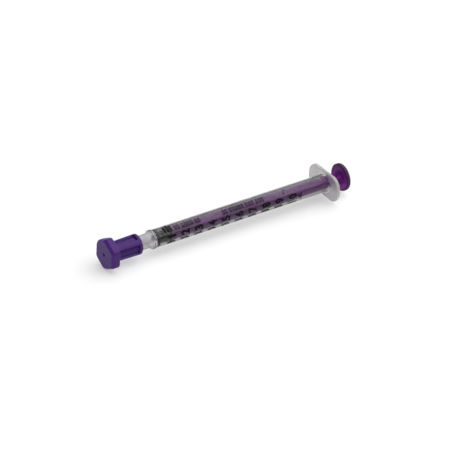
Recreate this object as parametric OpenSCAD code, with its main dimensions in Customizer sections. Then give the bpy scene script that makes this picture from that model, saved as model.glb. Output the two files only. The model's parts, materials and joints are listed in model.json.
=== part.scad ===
// Oral syringe, 1 mL, with a push-on tip cap and a pushed-home plunger.
// Millimetres. The syringe lies along X, with its tip towards -X and its thumb rest towards +X.
// The origin is on the axis at the closed front end of the bore, where the dose is zero.
// Angles round the barrel are measured from +Y towards +Z.

/* [Barrel] */
// Outside diameter of the barrel tube
barrel_d = 6.4; // [6.2:0.1:7]
// Bore diameter, which also sets the spacing of the scale
bore_d = 4.78; // [4.7:0.02:4.9]
// Length from the front end of the bore to the back of the finger flange
bore_l = 72.2; // [70:0.1:76]
// Diameter of the shoulder bead at the front of the tube
bead_d = 6.8; // [6.8:0.1:7.2]

/* [Finger flange] */
// Diameter across the rounded ends of the flange
flange_d = 16.9; // [14:0.1:20]
// Width across the two flat sides of the flange
flange_w = 9.4; // [8:0.1:12]
// Radius of the four corners that round the ends into the flat sides
flange_corner = 3.8; // [1:0.1:4]
// Thickness of the flange
flange_t = 1.25; // [1:0.05:2]

/* [Tip] */
// Diameter of the neck that shows between the cap and the shoulder
neck_d = 5.24; // [5.1:0.02:5.4]
// Distance from the front end of the bore to the front of the neck
neck_l = 6.15; // [6:0.05:9]
// Diameter of the oral tip that the cap covers
tip_d = 4.88; // [4.6:0.02:4.9]
// Distance from the front end of the bore to the end of the tip
tip_l = 15.1; // [14:0.1:18]
// Diameter of the channel through the tip
channel_d = 1.8; // [1.2:0.1:2.4]

/* [Plunger] */
// Width across the rod's crossed ribs
rod_w = 4.4; // [3.2:0.1:4.4]
// Thickness of each rib
rib_t = 0.95; // [0.7:0.05:1.2]
// Angle of the first rib round the axis
rod_turn = 52; // [0:1:90]
// Diameter of the round thumb rest
thumb_d = 9.9; // [8:0.1:14]
// Thickness of the thumb rest
thumb_t = 1.45; // [1:0.05:2]
// Gap between the finger flange and the thumb rest when the plunger is home
thumb_gap = 5.7; // [4:0.1:10]

/* [Stopper] */
// Length of the rubber stopper
stopper_l = 6.3; // [5.8:0.1:7]
// Diameter of the stopper's two sealing ribs
stopper_d = 4.72; // [4.64:0.02:4.74]
// Diameter of the stopper between its ribs
stopper_waist_d = 4.2; // [4:0.1:4.4]

/* [Tip cap] */
// Length of the cap
cap_l = 13.6; // [12:0.1:16]
// Diameter of the cap's round body at its open end
cap_body_d = 7.4; // [7:0.1:8.4]
// Diameter that the body tapers to where it meets the head
cap_waist_d = 7; // [6.8:0.1:7]
// Length of the six-sided head
cap_head_l = 3.25; // [2.5:0.05:5]
// Width across the flats of the head
cap_head_w = 10.5; // [9:0.1:13]
// Diameter of the socket that fits over the tip
socket_d = 5; // [4.96:0.02:5.04]

/* [Printed scale] */
// Height of the numerals along the barrel
numeral_h = 3.4; // [2:0.1:3.5]
// Thickness of the printed ink
ink_t = 0.04; // [0.03:0.01:0.08]
// Number of short lines between two numbered lines
short_lines = 4; // [1:1:9]

/* [Hidden] */
$fn = 96;

// Barrel
barrel_r = barrel_d / 2;
bore_r = bore_d / 2;
flange_x = bore_l - flange_t;
bead_w = 1;
bead_front = -bead_w;
shoulder_cone_l = 1.2;
stop_ring_r = bore_r - 0.09;
stop_ring_x = bore_l - 3.4;
stop_ring_w = 0.9;
mouth_chamfer = 0.35;
tip_chamfer = 0.4;
through = 1; // how far a cutting shape runs past the face that it cuts

// Stopper, and the rod's snap head inside it
stopper_x = 0.1;
stopper_back = stopper_x + stopper_l;
seal_w = 1;
seal_slope = 0.3;
nose_r = bore_r - 0.55;
head_r = 1.35;
head_l = 1.9;
head_neck_r = 0.95;
head_gap = 0.1;
head_back = stopper_back - 2;
head_front = head_back - head_l;

// Plunger rod
plate_r = 2.2;
plate_w = 0.8;
plate_x = stopper_back + head_gap;
thumb_x = bore_l + thumb_gap;
thumb_edge = 0.3;
boss_r = 2.2;
boss_front_r = 1.5;
boss_l = 0.9;

// Tip cap
cap_gap = 0.05;
cap_back = -neck_l - cap_gap;
cap_front = cap_back - cap_l;
head_x = cap_front + cap_head_l;
cap_corner_r = cap_head_w / 2 + 0.55; // distance to the flats that cut off the six corners
cap_face_r = cap_head_w / 2 - 0.2;
cap_bevel_slope = 0.58;
cap_rim_bevel = 0.3;
socket_end = -tip_l - 1;
groove_depth = 0.8;
groove_half_angle = 28;
groove_front = head_x + 0.8;
groove_back = cap_back - 1.2;
dimple_r = 0.55;
dimple_depth = 0.35;

// Printed scale: one numbered step is a tenth of a millilitre, or 100 cubic millimetres
step_x = 100 / (PI * bore_r * bore_r);
ink_gap = 0.005; // keeps the inner face of the ink off the barrel's own face
zero_x = 0.2;
steps = 10;
line_w = 0.24;
line_start = 231;
long_line_angle = 56;
short_line_angle = 36;
tenths_angle = 163;
units_angle = 212;
numeral_half_angle = 16;
stroke_w = 0.5;
stroke_angle = 9;
stroke_gap = 0.03;
point_angle = 187.5;
point_half_angle = 3;

// Unit mark behind the last numeral
unit_gap = 0.5;
unit_h = 1.6;
unit_m_drop = 0.4;
unit_stroke_w = 0.3;
unit_stroke_angle = 4;
m_angle = 176;
l_angle = 163;

// Plain hollow blocks in groups, and two dots, on the upper side
FRONT_GROUPS = [3, 2, 4, 2]; // number of blocks in each group
front_block_x = 3.3;
front_block_start = 101;
REAR_GROUPS = [2, 5, 3, 3];
rear_block_x = 27.2;
rear_block_start = 104;
block_w = 0.85;
block_pitch = 1.2;
group_gap = 0.65;
block_angle = 33;
block_line_w = 0.25;
block_line_angle = 5;
DOTS = [[52.9, 101], [52.3, 121]]; // each as [x, start angle]
dot_w = 0.7;
dot_angle = 10;

// Lit strokes of each numeral: a top, b and c right, d bottom, e and f left, g middle
STROKES = ["abcdef", "bc", "abged", "abgcd", "fgbc", "afgcd", "afgedc", "abc", "abcdefg", "abcfgd"];

// Turns a shape modelled along Z so that it lies along X
module along_x() {
    rotate([0, 90, 0]) children();
}

// A plain cylinder on the axis from x0 to x1
module rod_x(r, x0, x1) {
    translate([x0, 0, 0]) along_x() cylinder(r = r, h = x1 - x0);
}

// A cone on the axis from radius r0 at x0 to radius r1 at x1
module cone_x(r0, r1, x0, x1) {
    translate([x0, 0, 0]) along_x() cylinder(r1 = r0, r2 = r1, h = x1 - x0);
}

// Part of a ring on the axis, from radius r0 to r1, from x0 to x1 and from angle a0 to a1
module sector(r0, r1, x0, x1, a0, a1) {
    along_x() rotate([0, 0, a0 + 90]) rotate_extrude(angle = a1 - a0)
        translate([r0, x0]) square([r1 - r0, x1 - x0]);
}

// Thin curved patch of ink on the barrel
module patch(x0, x1, a0, a1) {
    sector(barrel_r + ink_gap, barrel_r + ink_gap + ink_t, x0, x1, a0, a1);
}

// Outline of the finger flange: a disc cut by two flats, with corners that round the arcs into the flats
module flange_outline() {
    end_r = flange_d / 2;
    corner_y = flange_w / 2 - flange_corner;
    corner_x = sqrt(pow(end_r - flange_corner, 2) - pow(corner_y, 2));
    arc_half_w = corner_y * end_r / (end_r - flange_corner);
    union() {
        intersection() {
            circle(r = end_r);
            square([flange_d, 2 * arc_half_w], center = true);
        }
        square([2 * corner_x, flange_w], center = true);
        for (side = [-1, 1], end = [-1, 1])
            translate([end * corner_x, side * corner_y]) circle(r = flange_corner);
    }
}

module barrel() {
    color([0.80, 0.80, 0.83, 0.45]) difference() {
        union() {
            rod_x(barrel_r, bead_front, bore_l);
            rod_x(bead_d / 2, bead_front, bead_front + bead_w);
            cone_x(neck_d / 2, barrel_r, bead_front - shoulder_cone_l, bead_front);
            rod_x(neck_d / 2, -neck_l, bead_front);
            rod_x(tip_d / 2, -tip_l + tip_chamfer, -neck_l);
            cone_x(tip_d / 2 - tip_chamfer, tip_d / 2, -tip_l, -tip_l + tip_chamfer);
            translate([flange_x, 0, 0]) rotate([90, 0, 90]) linear_extrude(flange_t) flange_outline();
        }
        rod_x(bore_r, 0, stop_ring_x);
        rod_x(stop_ring_r, stop_ring_x - through / 2, stop_ring_x + stop_ring_w + through / 2);
        rod_x(bore_r, stop_ring_x + stop_ring_w, bore_l + through);
        cone_x(bore_r, bore_r + mouth_chamfer, bore_l - mouth_chamfer, bore_l);
        rod_x(bore_r + mouth_chamfer, bore_l, bore_l + through);
        rod_x(channel_d / 2, -tip_l - through, through / 10);
    }
}

module stopper() {
    seal_r = stopper_d / 2;
    waist_r = stopper_waist_d / 2;
    color([0.25, 0.26, 0.25]) difference() {
        along_x() rotate_extrude() polygon([
            [0, stopper_x],
            [nose_r, stopper_x],
            [seal_r, stopper_x + seal_slope],
            [seal_r, stopper_x + seal_slope + seal_w],
            [waist_r, stopper_x + 2 * seal_slope + seal_w],
            [waist_r, stopper_back - 2 * seal_slope - seal_w],
            [seal_r, stopper_back - seal_slope - seal_w],
            [seal_r, stopper_back - seal_slope],
            [waist_r, stopper_back],
            [0, stopper_back]
        ]);
        rod_x(head_r + head_gap, head_front - head_gap, head_back + head_gap);
        rod_x(head_neck_r + head_gap, head_back, stopper_back + through);
    }
}

module plunger_rod() {
    color([0.36, 0.13, 0.45]) union() {
        cone_x(head_neck_r, head_r, head_front, head_front + head_l / 2);
        rod_x(head_r, head_front + head_l / 2, head_back);
        rod_x(head_neck_r, head_back, plate_x + plate_w / 2);
        rod_x(plate_r, plate_x, plate_x + plate_w);
        for (turn = [rod_turn, rod_turn + 90])
            rotate([turn, 0, 0]) translate([plate_x + plate_w / 2, -rod_w / 2, -rib_t / 2])
                cube([thumb_x - plate_x, rod_w, rib_t]);
        cone_x(boss_front_r, boss_r, thumb_x - boss_l, thumb_x);
        rod_x(thumb_d / 2, thumb_x, thumb_x + thumb_t - thumb_edge);
        cone_x(thumb_d / 2, thumb_d / 2 - thumb_edge, thumb_x + thumb_t - thumb_edge, thumb_x + thumb_t);
    }
}

// Six-sided prism as long as the head, with the given distance from the axis to its flats
module head_prism(flat_r, turn) {
    translate([cap_front, 0, 0]) along_x() rotate([0, 0, turn])
        cylinder(r = flat_r / cos(30), h = cap_head_l, $fn = 6);
}

// Six-sided head with its corners cut flat and a bevelled front edge
module cap_head() {
    intersection() {
        head_prism(cap_head_w / 2, 0);
        head_prism(cap_corner_r, 30);
        cone_x(cap_face_r, cap_face_r + cap_bevel_slope * cap_head_l, cap_front, head_x);
    }
}

module tip_cap() {
    body_r = cap_body_d / 2;
    color([0.40, 0.22, 0.60]) difference() {
        union() {
            cap_head();
            cone_x(cap_waist_d / 2, body_r, head_x - through, cap_back - cap_rim_bevel);
            cone_x(body_r, body_r - cap_rim_bevel, cap_back - cap_rim_bevel, cap_back);
        }
        rod_x(socket_d / 2, socket_end, cap_back + through);
        rod_x(dimple_r, cap_front - through, cap_front + dimple_depth);
        for (turn = [0:90:270])
            sector(body_r - groove_depth, body_r + through, groove_front, groove_back,
                turn - groove_half_angle, turn + groove_half_angle);
    }
}

// A graduation line centred at x, from the line start angle round to the given angle
module scale_line(x, angle) {
    patch(x - line_w / 2, x + line_w / 2, line_start, line_start + angle);
}

module scale_long_lines() {
    color([0.06, 0.04, 0.08]) for (k = [0:steps])
        scale_line(zero_x + k * step_x, long_line_angle);
}

module scale_short_lines() {
    color([0.06, 0.04, 0.08]) for (k = [0:steps - 1], j = [1:short_lines])
        scale_line(zero_x + (k + j / (short_lines + 1)) * step_x, short_line_angle);
}

// One numeral centred at x and angle a, its top towards the tip and its right side towards +Z
module numeral(digit, x, a) {
    top = x - numeral_h / 2;
    bottom = x + numeral_h / 2;
    left = a + numeral_half_angle;
    right = a - numeral_half_angle;
    side_l = left - stroke_angle;
    side_r = right + stroke_angle;
    upper = [top + stroke_w + stroke_gap, x - stroke_w / 2 - stroke_gap];
    lower = [x + stroke_w / 2 + stroke_gap, bottom - stroke_w - stroke_gap];
    for (stroke = STROKES[digit]) {
        if (stroke == "a") patch(top, top + stroke_w, right, left);
        if (stroke == "b") patch(upper[0], upper[1], right, side_r);
        if (stroke == "c") patch(lower[0], lower[1], right, side_r);
        if (stroke == "d") patch(bottom - stroke_w, bottom, right, left);
        if (stroke == "e") patch(lower[0], lower[1], side_l, left);
        if (stroke == "f") patch(upper[0], upper[1], side_l, left);
        if (stroke == "g") patch(x - stroke_w / 2, x + stroke_w / 2, right, left);
    }
}

// A decimal point on the numeral's base line
module decimal_point(x) {
    patch(x + numeral_h / 2 - stroke_w, x + numeral_h / 2,
        point_angle - point_half_angle, point_angle + point_half_angle);
}

module scale_numerals() {
    color([0.06, 0.04, 0.08]) {
        for (k = [1:steps]) {
            numeral(floor(k / steps), zero_x + k * step_x, units_angle);
            decimal_point(zero_x + k * step_x);
            numeral(k % steps, zero_x + k * step_x, tenths_angle);
        }
    }
}

// The unit, mL: the m is three legs under a bar, and the L is a stem on a foot
module unit_mark() {
    top = zero_x + steps * step_x + numeral_h / 2 + unit_gap;
    base = top + unit_h;
    leg = unit_stroke_angle;
    m_bar = top + unit_m_drop;
    color([0.06, 0.04, 0.08]) {
        patch(m_bar, m_bar + unit_stroke_w, m_angle, m_angle + 5 * leg);
        for (start = [m_angle:2 * leg:m_angle + 4 * leg])
            patch(m_bar + unit_stroke_w + stroke_gap, base, start, start + leg);
        patch(top, base - unit_stroke_w - stroke_gap, l_angle + 1.5 * leg, l_angle + 2.5 * leg);
        patch(base - unit_stroke_w, base, l_angle, l_angle + 2.5 * leg);
    }
}

// Number of blocks before a group
function blocks_before(groups, group) = group == 0 ? 0 : groups[group - 1] + blocks_before(groups, group - 1);

// One hollow block: a line along each side, and two across its ends between them
module block(x0, a0) {
    x1 = x0 + block_w;
    a1 = a0 + block_angle;
    inner = [x0 + block_line_w + stroke_gap, x1 - block_line_w - stroke_gap];
    patch(x0, x0 + block_line_w, a0, a1);
    patch(x1 - block_line_w, x1, a0, a1);
    patch(inner[0], inner[1], a0, a0 + block_line_angle);
    patch(inner[0], inner[1], a1 - block_line_angle, a1);
}

// A row of hollow blocks in groups, from x0 on
module block_row(x0, groups, a0) {
    color([0.06, 0.04, 0.08]) for (g = [0:len(groups) - 1], k = [0:groups[g] - 1])
        block(x0 + (blocks_before(groups, g) + k) * block_pitch + g * group_gap, a0);
}

module front_print_blocks() {
    block_row(front_block_x, FRONT_GROUPS, front_block_start);
}

module rear_print_blocks() {
    block_row(rear_block_x, REAR_GROUPS, rear_block_start);
}

module print_dots() {
    color([0.06, 0.04, 0.08]) for (place = DOTS)
        patch(place[0], place[0] + dot_w, place[1], place[1] + dot_angle);
}

barrel();
stopper();
plunger_rod();
tip_cap();
scale_long_lines();
scale_short_lines();
scale_numerals();
unit_mark();
front_print_blocks();
rear_print_blocks();
print_dots();
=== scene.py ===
"""A 1 mL oral syringe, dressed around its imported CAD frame.

Shapes are worked out in millimetres, in the frame's own axes: X from the tip to the thumb rest, Z up.
Angles round the axis are in degrees, from +Y towards +Z. build() turns millimetres into metres.
"""
import json
import math

import bmesh
import bpy
import numpy as np
from mathutils import Matrix, Vector

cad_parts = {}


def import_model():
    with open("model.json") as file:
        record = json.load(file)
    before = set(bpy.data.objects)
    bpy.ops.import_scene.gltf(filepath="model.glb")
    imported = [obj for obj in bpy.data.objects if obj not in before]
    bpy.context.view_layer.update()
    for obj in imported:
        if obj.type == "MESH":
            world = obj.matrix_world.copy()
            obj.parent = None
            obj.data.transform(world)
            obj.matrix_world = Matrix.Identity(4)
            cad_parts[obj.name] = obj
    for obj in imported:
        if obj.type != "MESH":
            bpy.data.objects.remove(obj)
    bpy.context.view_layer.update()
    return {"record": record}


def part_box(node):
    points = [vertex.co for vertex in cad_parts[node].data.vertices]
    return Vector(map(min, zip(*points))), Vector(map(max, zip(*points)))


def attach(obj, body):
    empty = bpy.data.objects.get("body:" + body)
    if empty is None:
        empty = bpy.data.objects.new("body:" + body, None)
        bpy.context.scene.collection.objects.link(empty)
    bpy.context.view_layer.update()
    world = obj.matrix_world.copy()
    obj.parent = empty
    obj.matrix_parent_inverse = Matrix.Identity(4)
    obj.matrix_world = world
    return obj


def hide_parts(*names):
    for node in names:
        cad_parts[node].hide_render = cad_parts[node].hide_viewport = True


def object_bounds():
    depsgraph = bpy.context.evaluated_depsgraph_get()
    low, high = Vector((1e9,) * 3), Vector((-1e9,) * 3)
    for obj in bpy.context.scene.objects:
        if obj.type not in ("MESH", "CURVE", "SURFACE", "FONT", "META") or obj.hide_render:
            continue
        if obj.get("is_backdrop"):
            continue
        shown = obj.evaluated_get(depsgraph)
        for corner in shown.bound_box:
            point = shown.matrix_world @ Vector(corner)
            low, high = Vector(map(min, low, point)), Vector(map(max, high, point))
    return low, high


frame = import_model()
scene = bpy.context.scene
MM = 0.001


# Sizes taken from the frame

def limits(node):
    """The lowest and highest corners of a CAD node, in millimetres."""
    low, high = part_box(node)
    return low / MM, high / MM


mounts = {m["name"]: m for m in frame["record"]["mounts"]}
barrel_low, barrel_high = limits("barrel")
stopper_low, stopper_high = limits("stopper")
rod_low, rod_high = limits("plunger_rod")
cap_low, cap_high = limits("tip_cap")

TUBE_R = mounts["barrel_grip"]["dims"]["r_mm"]
NECK_R = mounts["neck"]["dims"]["r_mm"]
TIP_R = mounts["oral_tip"]["dims"]["r_mm"]
TIP_END = barrel_low.x
BARREL_BACK = barrel_high.x
FLANGE_X = mounts["finger_rest"]["pos_m"][0] / MM
FLANGE_R = barrel_high.y
FLANGE_HALF_W = barrel_high.z
NECK_FRONT = cap_high.x + 0.05
THUMB_R = rod_high.z
THUMB_BACK = rod_high.x
CAP_FLAT = cap_high.y

# Sizes that the frame's boxes don't give
BORE_R = 2.39
CHANNEL_R = 0.9
BEAD_R = 3.4
BEAD_W = 1.0
SHOULDER_L = 1.2
STOP_RING_X = BARREL_BACK - 3.4
FLANGE_CORNER = 3.8
FLANGE_EDGE_R = 0.25
HEAD_NECK_R = 0.95
HEAD_R = 1.35
ROD_W = 4.4
RIB_T = 0.95
ROD_TURN = 52
THUMB_T = 1.45
CAP_WAIST_R = 3.5
CAP_BODY_R = 3.7
CAP_HEAD_L = 3.25
SOCKET_R = 2.5
GROOVE_R = 2.9

# The printed scale: one step is a tenth of a millilitre, or 100 cubic millimetres
INK_LOW = -0.01
INK_HIGH = 0.02
STEP_X = 100 / (math.pi * BORE_R * BORE_R)
ZERO_X = 0.2
STEPS = 10
SHORT_LINES = 4
NUMERAL_H = 3.4
NUMERAL_W = 1.75
ONE_W = 0.9
UNITS_ANGLE = 212
POINT_ANGLE = 187.5
TENTHS_ANGLE = 163
LINE_START = 231


# Mesh tools

def build(name, verts, faces, material):
    """A smooth mesh object from points in millimetres, its faces turned outwards."""
    mesh = bpy.data.meshes.new(name)
    mesh.from_pydata([tuple(float(c) * MM for c in v) for v in verts], [], faces)
    bm = bmesh.new()
    bm.from_mesh(mesh)
    bmesh.ops.recalc_face_normals(bm, faces=bm.faces)
    for face in bm.faces:
        face.smooth = True
    bm.to_mesh(mesh)
    bm.free()
    mesh.materials.append(material)
    obj = bpy.data.objects.new(name, mesh)
    scene.collection.objects.link(obj)
    return obj


def rounded(corners, steps=5, support=0.05):
    """Points along a path of (x, r, fillet) corners, each corner rounded to its fillet radius.

    A supporting point either side of each fillet keeps the flats beside it flat when shaded smooth.
    """
    points = []
    for i, (x, r, fillet) in enumerate(corners):
        here = np.array((x, r), float)
        if i in (0, len(corners) - 1) or fillet == 0:
            points.append(here)
            continue
        before = np.array(corners[i - 1][:2], float) - here
        after = np.array(corners[i + 1][:2], float) - here
        room = min(np.linalg.norm(before), np.linalg.norm(after))
        before, after = before / np.linalg.norm(before), after / np.linalg.norm(after)
        half = math.acos(max(-1.0, min(1.0, float(before @ after)))) / 2
        if abs(half - math.pi / 2) < 1e-3:
            points.append(here)
            continue
        reach = fillet / math.tan(half)
        centre = here + (before + after) / np.linalg.norm(before + after) * fillet / math.sin(half)
        start, end = here + before * reach, here + after * reach
        if reach + support < room / 2:
            points.append(here + before * (reach + support))
        turn0 = math.atan2(*(start - centre)[::-1])
        turn1 = math.atan2(*(end - centre)[::-1])
        sweep = (turn1 - turn0 + math.pi) % (2 * math.pi) - math.pi
        for k in range(steps + 1):
            turn = turn0 + sweep * k / steps
            points.append(centre + fillet * np.array((math.cos(turn), math.sin(turn))))
        if reach + support < room / 2:
            points.append(here + after * (reach + support))
    return points


def loft(name, rows, material, segments=128, closed=False):
    """A surface through rings round the X axis, each given as (x, radius).

    A radius may be an array over the ring, and a radius of 0 closes the surface on the axis.
    """
    phi = np.arange(segments) * 2 * math.pi / segments
    verts, rings, faces = [], [], []
    for x, radius in rows:
        if np.ndim(radius) == 0 and radius == 0:
            rings.append([len(verts)])
            verts.append((x, 0, 0))
            continue
        radii = np.broadcast_to(radius, phi.shape)
        rings.append(list(range(len(verts), len(verts) + segments)))
        verts += [(x, r * math.cos(p), r * math.sin(p)) for r, p in zip(radii, phi)]
    pairs = list(zip(rings, rings[1:])) + ([(rings[-1], rings[0])] if closed else [])
    for a, b in pairs:
        for k in range(segments):
            n = (k + 1) % segments
            if len(a) == 1:
                faces.append((a[0], b[k], b[n]))
            elif len(b) == 1:
                faces.append((a[k], b[0], a[n]))
            else:
                faces.append((a[k], b[k], b[n], a[n]))
    return build(name, verts, faces, material)


def smoothstep(low, high, value):
    """A smooth rise from 0 at the low value to 1 at the high one."""
    t = np.clip((value - low) / (high - low), 0, 1)
    return t * t * (3 - 2 * t)


def united(name, parts):
    """One clean mesh from closed parts that overlap. The parts are removed."""
    first = parts[0]
    for other in parts[1:]:
        cut = first.modifiers.new("join", "BOOLEAN")
        cut.operation, cut.solver, cut.object = "UNION", "EXACT", other
    bpy.context.view_layer.update()
    mesh = bpy.data.meshes.new_from_object(first.evaluated_get(bpy.context.evaluated_depsgraph_get()))
    mesh.name = name
    obj = bpy.data.objects.new(name, mesh)
    scene.collection.objects.link(obj)
    for part in parts:
        bpy.data.objects.remove(part)
    return obj


def sharpen(obj, angle=40):
    """Shades smooth, with a sharp edge wherever two faces meet at more than the angle."""
    bm = bmesh.new()
    bm.from_mesh(obj.data)
    for face in bm.faces:
        face.smooth = True
    for edge in bm.edges:
        edge.smooth = len(edge.link_faces) != 2 or edge.calc_face_angle(0) < math.radians(angle)
    bm.to_mesh(obj.data)
    bm.free()


# Materials

def set_range(node, from_low, from_high, low, high):
    """Sets the ranges of a Map Range node."""
    values = {"From Min": from_low, "From Max": from_high, "To Min": low, "To Max": high}
    for key, value in values.items():
        node.inputs[key].default_value = value


class Nodes:
    """Short calls for building a node tree."""

    def __init__(self, name):
        self.material = bpy.data.materials.new(name)
        self.material.use_nodes = True
        self.tree = self.material.node_tree
        self.tree.nodes.clear()
        self.shader = self.add("ShaderNodeBsdfPrincipled")
        self.link(self.shader.outputs[0], self.add("ShaderNodeOutputMaterial").inputs["Surface"])
        self.place = self.add("ShaderNodeTexCoord").outputs["Object"]

    def add(self, kind, **values):
        """A new node of a kind, with its settings."""
        node = self.tree.nodes.new(kind)
        for key, value in values.items():
            setattr(node, key, value)
        return node

    def link(self, a, b):
        self.tree.links.new(a, b)

    def set(self, **values):
        """Sets constant values on the shader's own sockets."""
        for key, value in values.items():
            self.shader.inputs[key.replace("_", " ")].default_value = value

    def noise(self, scale, detail, roughness=0.5, stretch=(1, 1, 1)):
        """Noise in object space; scale is in features per metre."""
        mapping = self.add("ShaderNodeMapping")
        mapping.inputs["Scale"].default_value = stretch
        self.link(self.place, mapping.inputs["Vector"])
        noise = self.add("ShaderNodeTexNoise")
        noise.inputs["Scale"].default_value = scale
        noise.inputs["Detail"].default_value = detail
        noise.inputs["Roughness"].default_value = roughness
        self.link(mapping.outputs[0], noise.inputs["Vector"])
        return noise.outputs["Fac"]

    def ramp(self, source, low, high, from_low=0.35, from_high=0.65):
        """Maps a value from one range onto another."""
        node = self.add("ShaderNodeMapRange")
        set_range(node, from_low, from_high, low, high)
        self.link(source, node.inputs["Value"])
        return node.outputs["Result"]

    def mix(self, factor, a, b):
        """Blends two colours by a factor."""
        node = self.add("ShaderNodeMix", data_type="RGBA")
        self.link(factor, node.inputs["Factor"])
        for colour, socket in ((a, node.inputs[6]), (b, node.inputs[7])):
            if isinstance(colour, tuple):
                socket.default_value = (*colour, 1)
            else:
                self.link(colour, socket)
        return node.outputs[2]

    def math(self, operation, *values):
        """A clamped sum on numbers and sockets."""
        node = self.add("ShaderNodeMath", operation=operation, use_clamp=True)
        for value, socket in zip(values, node.inputs):
            if isinstance(value, (int, float)):
                socket.default_value = value
            else:
                self.link(value, socket)
        return node.outputs[0]

    def places(self):
        """The place along the axis and the distance from it, in metres."""
        split = self.add("ShaderNodeSeparateXYZ")
        self.link(self.place, split.inputs[0])
        flat = self.add("ShaderNodeCombineXYZ")
        self.link(split.outputs["Y"], flat.inputs["Y"])
        self.link(split.outputs["Z"], flat.inputs["Z"])
        out = self.add("ShaderNodeVectorMath", operation="LENGTH")
        self.link(flat.outputs[0], out.inputs[0])
        return {"x": split.outputs["X"], "r": out.outputs["Value"]}

    def bump(self, source, height, strength, onto=None):
        """A bump of a height in millimetres, laid over an earlier one if there is one."""
        node = self.add("ShaderNodeBump")
        node.inputs["Distance"].default_value = height * MM
        node.inputs["Strength"].default_value = strength
        self.link(source, node.inputs["Height"])
        if onto is not None:
            self.link(onto, node.inputs["Normal"])
        return node.outputs[0]


def clear_plastic():
    """Clear polypropylene with faint long marks along the moulding flow.

    The thin tube is clearest, and its edges are painted darker at a glancing view, a painted shade. The thick
    neck is hazier, and the flange is hazier and paler.
    """
    n = Nodes("clear_polypropylene")
    flow = n.noise(700, 2, 0.5, (0.12, 1, 1))
    fine = n.noise(6000, 3)
    places = n.places()
    wing = n.ramp(places["r"], 0, 1, 3.3 * MM, 4.6 * MM)
    neck = n.ramp(places["x"], 1, 0, -1.6 * MM, -0.4 * MM)
    thick = n.math("MAXIMUM", wing, neck)
    # painted shade: the tube's base colour darkens towards its edges at a glancing view
    glancing = n.ramp(n.add("ShaderNodeLayerWeight").outputs["Facing"], 0, 1, 0.30, 0.55)
    plain = n.mix(n.ramp(flow, 0, 1), (0.60, 0.585, 0.61), (0.66, 0.645, 0.67))
    tube = n.mix(glancing, plain, (0.33, 0.32, 0.34))
    n.link(n.mix(wing, n.mix(neck, tube, plain), (0.75, 0.73, 0.74)), n.shader.inputs["Base Color"])
    rough = n.math("MULTIPLY_ADD", thick, 0.22, n.ramp(fine, 0.11, 0.16))
    n.link(rough, n.shader.inputs["Roughness"])
    clear = n.math("MULTIPLY_ADD", thick, -0.35, n.ramp(flow, 0.99, 0.975))
    n.link(clear, n.shader.inputs["Transmission Weight"])
    n.link(n.bump(fine, 0.0005, 0.3, n.bump(flow, 0.002, 0.4)), n.shader.inputs["Normal"])
    n.set(IOR=1.45, Specular_Tint=(0.45, 0.45, 0.45, 1))
    return n.material


def rubber():
    """Dark grey rubber with a faint bloom."""
    n = Nodes("stopper_rubber")
    bloom = n.noise(900, 4, 0.6)
    grain = n.noise(12000, 3)
    colour = n.mix(n.ramp(bloom, 0, 1), (0.012, 0.014, 0.013), (0.026, 0.030, 0.027))
    n.link(colour, n.shader.inputs["Base Color"])
    n.link(n.ramp(bloom, 0.50, 0.68), n.shader.inputs["Roughness"])
    n.link(n.bump(grain, 0.01, 0.6), n.shader.inputs["Normal"])
    n.set(Specular_IOR_Level=0.25)
    return n.material


def purple_plastic(name, dark, light, rough, shine, painted_zones):
    """Moulded purple plastic: faint colour swirl, a fine spark-eroded grain and slow sink marks.

    Each zone is painted light or shade, given as a colour and the ramps that bound it. A ramp runs over x, or
    over the distance r from the axis, from the place in millimetres where the zone's colour is absent to the
    place where it is full.
    """
    n = Nodes(name)
    swirl = n.noise(260, 4, 0.6, (0.5, 1, 1))
    grain = n.noise(14000, 3, 0.6)
    sink = n.noise(320, 2)
    places = n.places()
    colour = n.mix(n.ramp(swirl, 0, 1), dark, light)
    for painted_colour, bounds in painted_zones:
        share = None
        for axis, outside, inside in bounds:
            ramp = n.ramp(places[axis], 0, 1, outside * MM, inside * MM)
            share = ramp if share is None else n.math("MULTIPLY", share, ramp)
        colour = n.mix(share, colour, painted_colour)
    n.link(colour, n.shader.inputs["Base Color"])
    n.link(n.ramp(grain, rough - 0.05, rough + 0.07), n.shader.inputs["Roughness"])
    n.link(n.bump(grain, 0.012, 0.5, n.bump(sink, 0.06, 0.4)), n.shader.inputs["Normal"])
    n.set(Subsurface_Weight=0.12, Subsurface_Radius=(0.0008, 0.0003, 0.0012))
    n.set(IOR=1.49, Specular_IOR_Level=shine)
    return n.material


def ink():
    """Black pad-printed ink, a little thinner and greyer in places."""
    n = Nodes("black_ink")
    patchy = n.noise(5000, 4, 0.7)
    colour = n.mix(n.ramp(patchy, 0, 1, 0.5, 0.8), (0.004, 0.003, 0.005), (0.014, 0.010, 0.015))
    n.link(colour, n.shader.inputs["Base Color"])
    n.link(n.ramp(patchy, 0.45, 0.62), n.shader.inputs["Roughness"])
    n.link(n.bump(patchy, 0.004, 0.5), n.shader.inputs["Normal"])
    n.set(Specular_IOR_Level=0.06)
    return n.material


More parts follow.
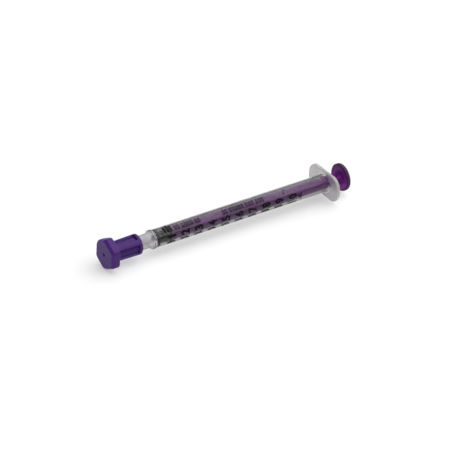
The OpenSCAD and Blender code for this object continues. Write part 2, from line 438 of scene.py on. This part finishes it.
CLEAR = clear_plastic()
RUBBER = rubber()
ROD_PURPLE = purple_plastic(
    "rod_purple", dark=(0.215, 0.024, 0.290), light=(0.265, 0.031, 0.350), rough=0.40, shine=0.10, painted_zones=[
        # Zones of painted light and painted shade: the thin ribs inside the barrel, their end in front of the
        # thumb rest, and the thumb rest's rim
        # painted light: the ribs inside the barrel are coloured lighter, standing in for the light they catch
        # through the barrel
        ((0.37, 0.09, 0.44), [("x", 74, 71)]),
        # painted shade: darker where the ribs meet the thumb rest
        ((0.150, 0.017, 0.200), [("x", 71.5, 73.5), ("r", 3.0, 2.5)]),
        # painted shade: the thumb rest's rim is coloured darker
        ((0.060, 0.020, 0.072), [("x", 74, 76), ("r", 4.1, 4.75)]),
    ])
CAP_PURPLE = purple_plastic(
    "cap_purple", dark=(0.052, 0.010, 0.135), light=(0.066, 0.014, 0.165), rough=0.36, shine=0.18, painted_zones=[
        # Painted shade on the floors of the sunk grooves, and painted light on the front face
        # painted shade: the groove floors are coloured darker, standing in for the shade in the grooves
        ((0.030, 0.004, 0.108), [("x", -16.2, -15.8), ("x", -7.0, -7.6), ("r", 3.4, 3.05)]),
        # painted light: the front face is coloured lighter and bluer, standing in for how light falls on it
        ((0.080, 0.022, 0.210), [("x", -18.5, -19.7)]),
    ])
INK = ink()


# Barrel

def flange_radius(angle):
    """Distance from the axis to the flange's outline: an end arc, a rounded corner, then a flat side."""
    along, up = abs(math.cos(angle)), abs(math.sin(angle))
    centre_y = FLANGE_HALF_W - FLANGE_CORNER
    centre_x = math.sqrt((FLANGE_R - FLANGE_CORNER) ** 2 - centre_y ** 2)
    if up <= centre_y / (FLANGE_R - FLANGE_CORNER):
        return FLANGE_R
    if centre_x * up > FLANGE_HALF_W * along:
        return FLANGE_HALF_W / up
    reach = centre_x * along + centre_y * up
    return reach + math.sqrt(reach ** 2 - centre_x ** 2 - centre_y ** 2 + FLANGE_CORNER ** 2)


def barrel():
    """Tube, shoulder, neck, tip, bore and flange as one closed surface."""
    segments = 144
    outline = np.array([flange_radius(2 * math.pi * k / segments) for k in range(segments)])
    edge = FLANGE_EDGE_R
    mouth = BORE_R + 0.35
    ring_r = BORE_R - 0.09
    rows = rounded([
        (TIP_END, CHANNEL_R, 0),
        (TIP_END, TIP_R, 0.4),
        (NECK_FRONT - 0.05, TIP_R, 0),
        (NECK_FRONT, NECK_R, 0.08),
        (-BEAD_W - SHOULDER_L, NECK_R, 1.6),
        (-BEAD_W - 0.15, TUBE_R, 0.25),
        (-BEAD_W, BEAD_R, 0.12),
        (0, BEAD_R, 0.3),
        (0, TUBE_R, 0.1),
        (FLANGE_X, TUBE_R, 0.35),
        (FLANGE_X, TUBE_R + 1, 0),
    ])
    inner = TUBE_R + 1
    rows += [(FLANGE_X, inner + (outline - edge - inner) * s) for s in (0.3, 0.6, 0.9, 1)]
    for k in range(1, 7):
        turn = math.radians(90 * k / 6)
        rows.append((FLANGE_X + edge * (1 - math.cos(turn)), outline - edge * (1 - math.sin(turn))))
    for k in range(7):
        turn = math.radians(90 * k / 6)
        rows.append((BARREL_BACK - edge * (1 - math.sin(turn)), outline - edge * (1 - math.cos(turn))))
    rows += [(BARREL_BACK, outline - edge + (mouth + 0.3 - outline + edge) * s) for s in (0.1, 0.4, 0.7, 1)]
    inside = rounded([
        (BARREL_BACK, mouth + 0.25, 0),
        (BARREL_BACK, mouth, 0.12),
        (BARREL_BACK - 0.35, BORE_R, 0.3),
        (STOP_RING_X + 0.9, BORE_R, 0.2),
        (STOP_RING_X + 0.6, ring_r, 0.2),
        (STOP_RING_X + 0.3, ring_r, 0.2),
        (STOP_RING_X, BORE_R, 0.2),
        (0, BORE_R, 0.2),
        (0, CHANNEL_R, 0.12),
        (TIP_END, CHANNEL_R, 0),
    ])
    rows += inside[:-1]
    return loft("clear_barrel", rows, CLEAR, segments, closed=True)


# Stopper

def stopper():
    """Rubber stopper with two sealing ribs pressed against the bore, and the cavity for the rod's head."""
    seal = BORE_R + 0.003
    seal_w = 1
    slope = 0.3
    waist = 2.1
    gap = 0.1
    front, back = stopper_low.x, stopper_high.x
    head_back = back - 2 + gap
    head_front = head_back - 2.1
    rows = rounded([
        (front, 0, 0),
        (front, seal - 0.52, 0.15),
        (front + slope, seal, 0.18),
        (front + slope + seal_w, seal, 0.25),
        (front + 2 * slope + seal_w, waist, 0.3),
        (back - 2 * slope - seal_w, waist, 0.3),
        (back - slope - seal_w, seal, 0.25),
        (back - slope, seal, 0.25),
        (back, waist, 0.1),
        (back, HEAD_NECK_R + gap, 0.08),
        (head_back, HEAD_NECK_R + gap, 0.05),
        (head_back, HEAD_R + gap, 0.1),
        (head_front, HEAD_R + gap, 0.1),
        (head_front, 0, 0),
    ])
    return loft("rubber_stopper", rows, RUBBER, 96)


# Plunger rod

def rib(turn, x0, x1):
    """One long flat rib through the axis, its edges slightly rounded."""
    bm = bmesh.new()
    bmesh.ops.create_cube(bm, size=1)
    size = Matrix.Diagonal((*(Vector((x1 - x0, ROD_W, RIB_T)) * MM), 1))
    move = Matrix.Translation(Vector(((x0 + x1) / 2 * MM, 0, 0)))
    spin = Matrix.Rotation(math.radians(turn), 4, "X")
    bmesh.ops.transform(bm, matrix=move @ spin @ size, verts=bm.verts)
    bmesh.ops.bevel(bm, geom=bm.edges, offset=0.14 * MM, segments=3, affect="EDGES", profile=0.5)
    mesh = bpy.data.meshes.new("rib")
    bm.to_mesh(mesh)
    bm.free()
    mesh.materials.append(ROD_PURPLE)
    obj = bpy.data.objects.new("rib", mesh)
    scene.collection.objects.link(obj)
    return obj


def plunger_rod():
    """Snap head, plate, crossed ribs and thumb rest, joined into one moulding."""
    head_front = rod_low.x
    head_back = head_front + 1.9
    plate_front = stopper_high.x + 0.1
    plate_back = plate_front + 0.8
    plate_r = 2.2
    thumb = THUMB_BACK - THUMB_T
    boss_front = thumb - 1.2
    dimple = THUMB_BACK - 0.12
    joint = 0.4  # how far the ribs run into the plate and the thumb rest
    head = loft("head", rounded([
        (head_front, 0, 0),
        (head_front, HEAD_NECK_R, 0.15),
        (head_front + 0.95, HEAD_R, 0.3),
        (head_back, HEAD_R, 0.1),
        (head_back, HEAD_NECK_R, 0.08),
        (plate_front, HEAD_NECK_R, 0.08),
        (plate_front, plate_r, 0.15),
        (plate_back, plate_r, 0.15),
        (plate_back, 0, 0),
    ]), ROD_PURPLE, 72)
    disc = loft("disc", rounded([
        (boss_front, 0, 0),
        (boss_front, 1.2, 0.1),
        (thumb, 2.1, 0.8),
        (thumb, THUMB_R, 0.28),
        (THUMB_BACK, THUMB_R, 0.4),
        (THUMB_BACK, 0.7, 0),
        (THUMB_BACK, 0.55, 0.03),
        (dimple, 0.5, 0.03),
        (dimple, 0, 0),
    ], steps=7), ROD_PURPLE, 128)
    ribs = [rib(turn, plate_front + joint, thumb + joint) for turn in (ROD_TURN, ROD_TURN + 90)]
    rod = united("purple_plunger_rod", [disc, head, *ribs])
    sharpen(rod)
    return rod


# Tip cap

def tip_cap():
    """Six-sided head, body with four sunk grooves between ribs, and the socket, as one closed surface."""
    segments = 360
    phi = np.arange(segments) * 2 * math.pi / segments
    # The hexagon's radius in each direction, over the distance to its flats; the power blunts its corners
    power = 15
    six = sum(np.maximum(np.cos(phi - k * math.pi / 3), 0) ** power for k in range(6)) ** (-1 / power)
    from_rib = np.degrees(np.abs((phi % (math.pi / 2)) - math.pi / 4))
    grooved = smoothstep(15, 19, from_rib)
    front, back = cap_low.x, cap_high.x
    dimple_back = front + 0.35
    head_back = front + CAP_HEAD_L
    socket_end = TIP_END - 1
    groove_front, groove_back = head_back + 0.8, back - 1.2
    flare = (CAP_BODY_R - CAP_WAIST_R) / (back - head_back)
    body = np.arange(groove_front - 0.3, groove_back + 0.35, 0.1)
    path = rounded([
        (dimple_back, 0, 0),
        (dimple_back, 0.5, 0.05),
        (front, 0.6, 0.1),
        (front, CAP_FLAT - 0.65, 0.3),
        (front + 0.9, CAP_FLAT, 0.6),
        (head_back, CAP_FLAT, 0.35),
        (head_back, CAP_WAIST_R, 0.45),
        *((x, CAP_WAIST_R + flare * (x - head_back), 0) for x in body),
        (back, CAP_BODY_R, 0.3),
        (back, SOCKET_R, 0.15),
        (socket_end, SOCKET_R, 0.2),
        (socket_end, 0, 0),
    ], steps=6)
    rows = []
    for x, r in path:
        if r == 0:
            rows.append((x, 0))
            continue
        on_face = x < front + 0.3
        six_share = smoothstep(0.8, 3.4, r) if on_face else smoothstep(CAP_WAIST_R + 0.1, 4.8, r)
        dip = smoothstep(groove_front - 0.2, groove_front + 0.3, x)
        dip *= 1 - smoothstep(groove_back - 0.3, groove_back + 0.2, x)
        outside = r > GROOVE_R + 0.1
        sunk = dip * grooved * (r - GROOVE_R) if outside else 0
        rows.append((x, r * (1 + six_share * (six - 1)) - sunk))
    return loft("purple_tip_cap", rows, CAP_PURPLE, segments)


# Printing on the barrel

def wrapped(x, angle, height):
    """A point on the barrel at a height above its surface."""
    r = TUBE_R + height
    return x, r * math.cos(math.radians(angle)), r * math.sin(math.radians(angle))


def plate(x_edges, angles, holes=()):
    """Verts and faces of a thin closed plate of ink over a grid, without the cells listed as holes."""
    verts = [wrapped(x, a, h) for x in x_edges for a in angles for h in (INK_LOW, INK_HIGH)]
    cells = {(i, j) for i in range(len(x_edges) - 1) for j in range(len(angles) - 1)} - set(holes)
    faces = []
    for i, j in sorted(cells):
        corners = [(i, j), (i + 1, j), (i + 1, j + 1), (i, j + 1)]
        beside = [(i, j - 1), (i + 1, j), (i, j + 1), (i - 1, j)]
        low = [2 * (u * len(angles) + v) for u, v in corners]
        faces += [tuple(low), tuple(k + 1 for k in low)]
        for k, other in enumerate(beside):
            if other not in cells:
                start, end = low[k], low[(k + 1) % 4]
                faces.append((start, end, end + 1, start + 1))
    return verts, faces


def printed(name, items):
    """One piece of ink from several shapes, each given as its verts and faces."""
    verts, faces = [], []
    for new_verts, new_faces in items:
        faces += [tuple(i + len(verts) for i in f) for f in new_faces]
        verts += new_verts
    obj = build(name, verts, faces, INK)
    sharpen(obj)
    return obj


def patch(x0, x1, a0, a1):
    """A plain patch from x0 to x1 and from angle a0 to a1, bent in steps of about 2 degrees."""
    return plate((x0, x1), np.linspace(a0, a1, math.ceil((a1 - a0) / 2) + 1))


def figures(text, height, width, x, angle):
    """Verts and faces of figures centred on a place, upright when the tip points up."""
    curve = bpy.data.curves.new("figures", "FONT")
    curve.body = text
    curve.resolution_u = 6
    curve.offset = 0.035
    curve.extrude = 0.1
    obj = bpy.data.objects.new("figures", curve)
    scene.collection.objects.link(obj)
    bpy.context.view_layer.update()
    mesh = bpy.data.meshes.new_from_object(obj.evaluated_get(bpy.context.evaluated_depsgraph_get()))
    bpy.data.objects.remove(obj)
    bm = bmesh.new()
    bm.from_mesh(mesh)
    bmesh.ops.remove_doubles(bm, verts=bm.verts, dist=1e-5)
    low = [min(v.co[i] for v in bm.verts) for i in range(2)]
    high = [max(v.co[i] for v in bm.verts) for i in range(2)]
    scale_u, scale_v = width / (high[0] - low[0]), height / (high[1] - low[1])
    strips = math.ceil(width / 0.12)
    for k in range(1, strips):
        cut = low[0] + (high[0] - low[0]) * k / strips
        geom = bm.verts[:] + bm.edges[:] + bm.faces[:]
        bmesh.ops.bisect_plane(bm, geom=geom, plane_co=(cut, 0, 0), plane_no=(1, 0, 0))
    verts = []
    bm.verts.index_update()
    for v in bm.verts:
        across = (v.co[0] - (low[0] + high[0]) / 2) * scale_u
        up = (v.co[1] - (low[1] + high[1]) / 2) * scale_v
        height_here = INK_HIGH if v.co[2] > 0 else INK_LOW
        verts.append(wrapped(x - up, angle - math.degrees(across / TUBE_R), height_here))
    faces = [tuple(v.index for v in face.verts) for face in bm.faces]
    bm.free()
    return verts, faces


def scale_lines(angle, places):
    """Lines round the barrel through an angle, one at each place along it."""
    half = 0.12
    return [patch(x - half, x + half, LINE_START, LINE_START + angle) for x in places]


def numerals():
    """0.1 to 1.0, each on its own line of the scale."""
    point = 0.5
    items = []
    for k in range(1, STEPS + 1):
        x = ZERO_X + k * STEP_X
        for digit, angle in ((k // STEPS, UNITS_ANGLE), (k % STEPS, TENTHS_ANGLE)):
            items.append(figures(str(digit), NUMERAL_H, ONE_W if digit == 1 else NUMERAL_W, x, angle))
        items.append(figures(".", point, point, x + (NUMERAL_H - point) / 2, POINT_ANGLE))
    return items


def block(x, start, end, solid=False):
    """A plain block: solid, or a line all round a hollow."""
    width, line, end_line = 0.85, 0.27, 6
    angles = [start, *np.linspace(start + end_line, end - end_line, 13), end]
    holes = () if solid else [(1, j) for j in range(1, len(angles) - 2)]
    return plate((x, x + line, x + width - line, x + width), angles, holes)


def block_row(x, groups, start, tall=0):
    """A row of blocks in groups, each group given as its number of blocks.

    The first blocks of the row, as many as tall says, are taller and solid.
    """
    pitch, group_gap, angle, extra = 1.2, 0.65, 33, 14
    items = []
    for count in groups:
        for _ in range(count):
            solid = len(items) < tall
            items.append(block(x, start - (extra if solid else 0), start + angle, solid))
            x += pitch
        x += group_gap
    return items


def printing():
    """Every piece of ink, by the CAD node that it stands for."""
    parts = SHORT_LINES + 1
    long_places = [ZERO_X + k * STEP_X for k in range(STEPS + 1)]
    short_places = [ZERO_X + (k + j / parts) * STEP_X for k in range(STEPS) for j in range(1, parts)]
    unit_x = ZERO_X + STEPS * STEP_X + NUMERAL_H / 2 + 1.3
    dots = [patch(x, x + 0.7, a, a + 10) for x, a in ((52.9, 101), (52.3, 121))]
    return {
        "scale_long_lines": printed("printed_long_lines", scale_lines(56, long_places)),
        "scale_short_lines": printed("printed_short_lines", scale_lines(36, short_places)),
        "scale_numerals": printed("printed_numerals", numerals()),
        "unit_mark": printed("printed_unit", [figures("mL", 1.6, 2.2, unit_x, 176)]),
        "front_print_blocks": printed("printed_front_blocks", block_row(3.3, (3, 2, 4, 2), 101, tall=3)),
        "rear_print_blocks": printed("printed_rear_blocks", block_row(27.2, (2, 5, 3, 3), 104)),
        "print_dots": printed("printed_dots", dots),
    }


def add(piece, body, node):
    """Hangs a piece on its body, in place of a CAD node."""
    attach(piece, body)
    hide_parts(node)


add(barrel(), "barrel", "barrel")
add(stopper(), "stopper", "stopper")
add(plunger_rod(), "plunger_rod", "plunger_rod")
add(tip_cap(), "tip_cap", "tip_cap")
for node, piece in printing().items():
    add(piece, "barrel", node)


# Floor, light and camera

def floor():
    """A plain pale floor just under the syringe."""
    n = Nodes("pale_floor")
    colour = n.mix(n.ramp(n.noise(40, 2), 0, 1), (0.48, 0.48, 0.48), (0.50, 0.50, 0.50))
    n.link(colour, n.shader.inputs["Base Color"])
    n.set(Roughness=0.9, Specular_IOR_Level=0.1)
    n.set(Emission_Color=(1, 1, 1, 1), Emission_Strength=0.45)
    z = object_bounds()[0].z / MM
    size = 3000
    corners = [(-size, -size, z), (size, -size, z), (size, size, z), (-size, size, z)]
    obj = build("floor", corners, [(0, 1, 2, 3)], n.material)
    obj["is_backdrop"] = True


def world():
    """A wide soft light overhead, and dim walls all round."""
    dim, bright = 0.07, 2.4
    light_from = Vector((0.50, -0.08, 0.86)).normalized()
    made = bpy.data.worlds.new("studio")
    made.use_nodes = True
    tree = made.node_tree
    tree.nodes.clear()
    place = tree.nodes.new("ShaderNodeTexCoord")
    dot = tree.nodes.new("ShaderNodeVectorMath")
    dot.operation = "DOT_PRODUCT"
    dot.inputs[1].default_value = light_from
    ramp = tree.nodes.new("ShaderNodeMapRange")
    ramp.interpolation_type = "SMOOTHSTEP"
    set_range(ramp, 0.45, 0.85, dim, bright)
    background = tree.nodes.new("ShaderNodeBackground")
    background.inputs["Color"].default_value = (1, 1, 1, 1)
    output = tree.nodes.new("ShaderNodeOutputWorld")
    tree.links.new(place.outputs["Generated"], dot.inputs[0])
    tree.links.new(dot.outputs["Value"], ramp.inputs["Value"])
    tree.links.new(ramp.outputs["Result"], background.inputs["Strength"])
    tree.links.new(background.outputs[0], output.inputs["Surface"])
    scene.world = made


def camera():
    """Looks down on the tip end from the left, far off through a long lens."""
    azimuth, elevation, roll = (math.radians(angle) for angle in (-36.2, 32.2, 3.0))
    flat = math.cos(elevation)
    back = Vector((math.sin(azimuth) * flat, -math.cos(azimuth) * flat, math.sin(elevation)))
    turn = (-back).to_track_quat("-Z", "Y").to_matrix() @ Matrix.Rotation(roll, 3, "Z")
    right, up = turn.col[0], turn.col[1]
    view_width = 153.6 * MM
    target = Vector((28.4, 0, 0)) * MM + 1.06 * MM * right - 3.0 * MM * up
    data = bpy.data.cameras.new("camera")
    data.lens, data.sensor_width = 350, 36
    data.clip_start, data.clip_end = 0.05, 20
    distance = view_width * data.lens / data.sensor_width
    obj = bpy.data.objects.new("camera", data)
    obj.matrix_world = Matrix.Translation(target + back * distance) @ turn.to_4x4()
    scene.collection.objects.link(obj)
    scene.camera = obj


floor()
world()
camera()
scene.view_settings.view_transform = "Standard"
